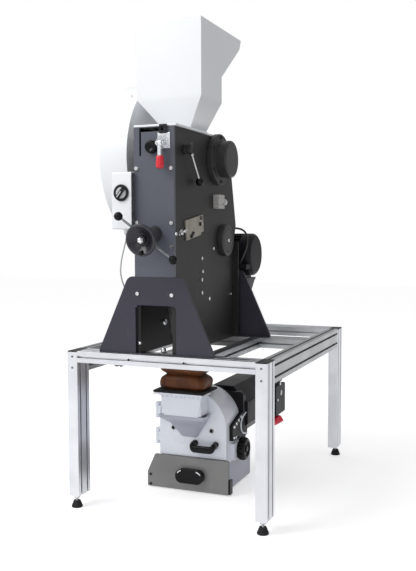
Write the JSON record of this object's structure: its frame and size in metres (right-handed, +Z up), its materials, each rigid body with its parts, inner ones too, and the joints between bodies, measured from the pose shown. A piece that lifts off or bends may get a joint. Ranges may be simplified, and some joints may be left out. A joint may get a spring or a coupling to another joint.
{
  "type": "analytical lab mill",
  "caption": "Two-stage sample mill: a jaw crusher on a slotted-bar stand drops its grit through a flexible sleeve into a disc mill with a collecting drawer.",
  "frame": {"origin": "middle of the whole station's footprint, on the floor", "axes": "+Z up, +X to the right seen from the front, -Y towards the operator at the handwheel"},
  "size_m": [0.7502, 1.154, 1.727],
  "materials": {
    "bar": "clear anodised slotted bar",
    "cap": "black moulded plastic",
    "bright": "bright steel",
    "side_paint": "charcoal fine-texture paint",
    "front_paint": "blue-grey fine-texture paint",
    "foot_paint": "purple-grey satin paint",
    "jaw": "cast manganese steel",
    "belt": "black belt rubber",
    "white_paint": "white powder coat on sheet",
    "motor_paint": "black motor enamel",
    "mill_motor_paint": "glossy black enamel",
    "lever": "polished chrome",
    "red_grip": "red dipped grip",
    "plate_metal": "khaki-grey plate",
    "chute": "mill-finish sheet steel",
    "sleeve": "brown coated fabric",
    "lead": "grey sheath",
    "base_paint": "lavender-grey paint"
  },
  "bodies": {
    "root": {"leg_front_left": "bar", "leg_front_right": "bar", "leg_rear_left": "bar", "leg_rear_right": "bar", "front_rail": "bar", "rear_rail": "bar", "side_rail_left": "bar", "side_rail_right": "bar", "deck_rails": "bar", "leg_end_caps": "cap", "foot_pads": "cap", "foot_stems": "bright", "screws": "bright", "side_wall_left": "side_paint", "side_wall_right": "side_paint", "rear_wall": "side_paint", "bearing_housings": "side_paint", "spindle_barrel": "side_paint", "control_box": "side_paint", "front_panel": "front_paint", "front_foot_plate": "foot_paint", "rear_foot_plate": "foot_paint", "motor_shelf": "foot_paint", "drive_belt": "belt", "motor_cable": "belt", "seal_plate": "belt", "belt_guard": "white_paint", "switch_box": "white_paint", "mill_housing": "white_paint", "crusher_motor": "motor_paint", "mill_motor": "mill_motor_paint", "side_bracket": "mill_motor_paint", "lower_cover": "mill_motor_paint", "catch_base": "lever", "wall_plates": "plate_metal", "drop_chute": "chute", "flexible_sleeve": "sleeve", "switch_lead": "lead", "mill_base": "base_paint"},
    "handwheel": {"handwheel": "cap"},
    "clamp_lever": {"clamp_lever": "lever"},
    "side_lever": {"side_lever": "lever"},
    "front_knob": {"front_knob": "cap"},
    "catch_lever": {"catch_lever": "red_grip"},
    "hopper": {"hopper": "white_paint"},
    "eccentric": {"eccentric_shaft": "bright", "flywheel": "jaw"},
    "motor_rotor": {"motor_pulley": "bright"},
    "swing_jaw": {"swing_jaw": "jaw"},
    "front_jaw": {"front_jaw": "jaw"},
    "rotary_switch": {"rotary_switch": "cap"},
    "mill_door": {"mill_door": "white_paint", "feed_box": "white_paint", "door_handle": "cap", "fixed_disc": "bright"},
    "drawer": {"collector_drawer": "base_paint", "drawer_handle": "cap"},
    "mill_shaft": {"turning_disc": "bright"},
    "gap_knob": {"gap_knob": "cap"},
    "red_button": {"red_button": "red_grip"}
  },
  "joints": [
    {"name": "handwheel_spin", "type": "hinge", "parent": "root", "child": "handwheel", "pos_m": [-0.035, -0.45904, 0.984], "axis": [0, 0.9816, 0.1908], "range_deg": [0, 420]},
    {"name": "front_jaw_tilt", "type": "hinge", "parent": "root", "child": "front_jaw", "pos_m": [-0.037, -0.30604, 1.296], "axis": [1, 0, 0], "range_deg": [0, 1.6]},
    {"name": "clamp_lever_turn", "type": "hinge", "parent": "root", "child": "clamp_lever", "pos_m": [-0.035, -0.45904, 0.984], "axis": [0, 0.9816, 0.1908], "range_deg": [-35, 35]},
    {"name": "side_lever_turn", "type": "hinge", "parent": "root", "child": "side_lever", "pos_m": [0.038, -0.37304, 1.272], "axis": [1, 0, 0], "range_deg": [-30, 40]},
    {"name": "front_knob_turn", "type": "hinge", "parent": "root", "child": "front_knob", "pos_m": [-0.04, -0.45904, 1.276], "axis": [0, 1, 0], "range_deg": [-90, 90]},
    {"name": "catch_swing", "type": "hinge", "parent": "root", "child": "catch_lever", "pos_m": [0, -0.48703, 1.286], "axis": [1, 0, 0], "range_deg": [-110, 0]},
    {"name": "hopper_tilt", "type": "hinge", "parent": "root", "child": "hopper", "pos_m": [-0.037, -0.03003, 1.3488], "axis": [1, 0, 0], "range_deg": [-50, 0]},
    {"name": "eccentric_spin", "type": "hinge", "parent": "root", "child": "eccentric", "pos_m": [-0.037, -0.07604, 1.262], "axis": [1, 0, 0], "continuous": true},
    {"name": "motor_spin", "type": "hinge", "parent": "root", "child": "motor_rotor", "pos_m": [-0.037, 0.24396, 0.897], "axis": [1, 0, 0], "continuous": true},
    {"name": "swing_jaw_stroke", "type": "hinge", "parent": "root", "child": "swing_jaw", "pos_m": [-0.037, -0.07604, 1.262], "axis": [1, 0, 0], "range_deg": [-0.8, 0]},
    {"name": "rotary_switch_turn", "type": "hinge", "parent": "root", "child": "rotary_switch", "pos_m": [-0.149, -0.48103, 1.124], "axis": [0, 1, 0], "range_deg": [0, 90]},
    {"name": "mill_door_swing", "type": "hinge", "parent": "root", "child": "mill_door", "pos_m": [-0.187, -0.13403, 0.25], "axis": [0, 0, 1], "range_deg": [-100, 0]},
    {"name": "drawer_slide", "type": "slide", "parent": "root", "child": "drawer", "axis": [0, -1, 0], "range_m": [0, 0.24]},
    {"name": "mill_shaft_spin", "type": "hinge", "parent": "root", "child": "mill_shaft", "pos_m": [-0.037, -0.09104, 0.25], "axis": [0, 1, 0], "continuous": true},
    {"name": "gap_knob_turn", "type": "hinge", "parent": "root", "child": "gap_knob", "pos_m": [0.101, -0.02804, 0.152], "axis": [1, 0, 0], "range_deg": [-150, 150]},
    {"name": "red_button_press", "type": "slide", "parent": "root", "child": "red_button", "axis": [0, 0, 1], "range_m": [0, 0.004], "stiffness_N_per_m": 400}
  ],
  "couplings": [
    {"joint": "front_jaw_tilt", "follows": "handwheel_spin", "ratio": 0.003809},
    {"joint": "motor_spin", "follows": "eccentric_spin", "ratio": 4.069}
  ]
}
